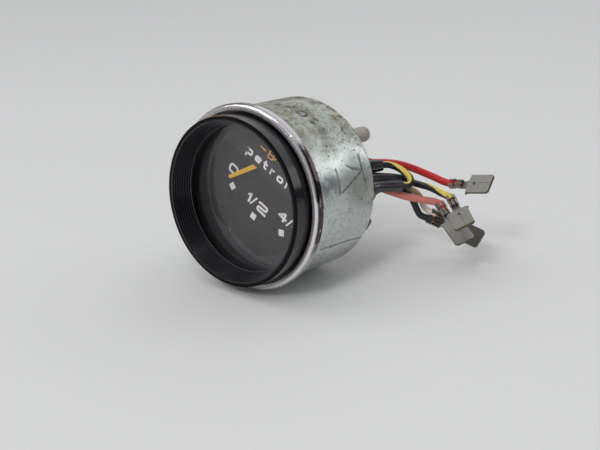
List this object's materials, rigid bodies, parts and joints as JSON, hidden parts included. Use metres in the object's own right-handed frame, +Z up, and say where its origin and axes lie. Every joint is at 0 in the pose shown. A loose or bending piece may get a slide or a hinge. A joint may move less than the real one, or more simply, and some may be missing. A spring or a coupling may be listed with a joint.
{
  "type": "fuel gauge",
  "caption": "Round panel-mount fuel gauge: plated can, bright bezel, deep stepped black hood, dark dial with a swinging needle, and a rear loom ending in flat tabs.",
  "frame": {"origin": "on the gauge's axis, at the rear face of the bezel, which bears on the panel", "axes": "+Y along the axis from the dial to the rear, +Z up as the gauge lies on its side, +X to the left of a viewer behind it"},
  "size_m": [0.0793, 0.0714, 0.0548],
  "materials": {
    "plated_steel": "dull zinc plate, stained",
    "bright_chrome": "worn bright plate",
    "black_gloss": "gloss",
    "clear_glass": "clear",
    "black_rubber": "matt",
    "black_matt": "matt",
    "white_plastic": "matt",
    "needle_yellow": "matt",
    "steel": "satin",
    "dull_steel": "dull",
    "brass": "dull",
    "copper": "bare strands",
    "cream_plastic": "matt",
    "brown_fibre": "matt",
    "tinned": "dull tin",
    "black_sleeve": "satin",
    "wire_red": "satin",
    "wire_striped": "satin, with a yellow stripe",
    "wire_pink": "satin",
    "wire_white": "satin",
    "wire_black": "satin"
  },
  "bodies": {
    "case": {"case_can": "plated_steel", "bezel_ring": "bright_chrome", "hood": "black_gloss", "lens_glass": "clear_glass", "glass_gasket": "black_rubber", "dial_mask": "black_matt", "light_ring": "white_plastic", "dial_plate": "black_matt", "dial_rivets": "black_matt", "pointer_stops": "black_matt", "chassis_plate": "steel", "support_sleeve": "white_plastic", "movement_frame": "steel", "frame_rivets": "brass", "front_bearing": "brass", "rear_bearing": "brass", "coil_cores": "steel", "coil_bobbins": "cream_plastic", "coil_windings": "copper", "mounting_studs": "dull_steel", "terminal_posts": "brass", "inner_washers": "brown_fibre", "round_bush": "cream_plastic", "twin_bush": "cream_plastic", "post_nuts": "brass", "ring_tags": "tinned", "lamp_shell": "tinned", "lamp_cap": "black_gloss", "bulb_glass": "clear_glass", "bulb_cap": "brass", "sleeve_upper": "black_sleeve", "sleeve_middle": "black_sleeve", "sleeve_lower": "black_sleeve", "wire_red": "wire_red", "wire_loop": "wire_striped", "wire_striped": "wire_striped", "wire_pink": "wire_pink", "wire_white": "wire_white", "wire_black": "wire_black", "tab_red": "tinned", "tab_striped": "tinned", "tab_pink": "tinned", "tab_pair": "tinned", "wire_cores": "copper"},
    "needle": {"pointer": "needle_yellow", "pointer_hub": "black_matt", "spindle": "steel", "rotor": "steel"}
  },
  "joints": [
    {"name": "needle_swing", "type": "hinge", "parent": "case", "child": "needle", "pos_m": [0.0064, 0.0044, 0.01234], "axis": [0, -1, 0], "range_deg": [0, 65.5]}
  ]
}
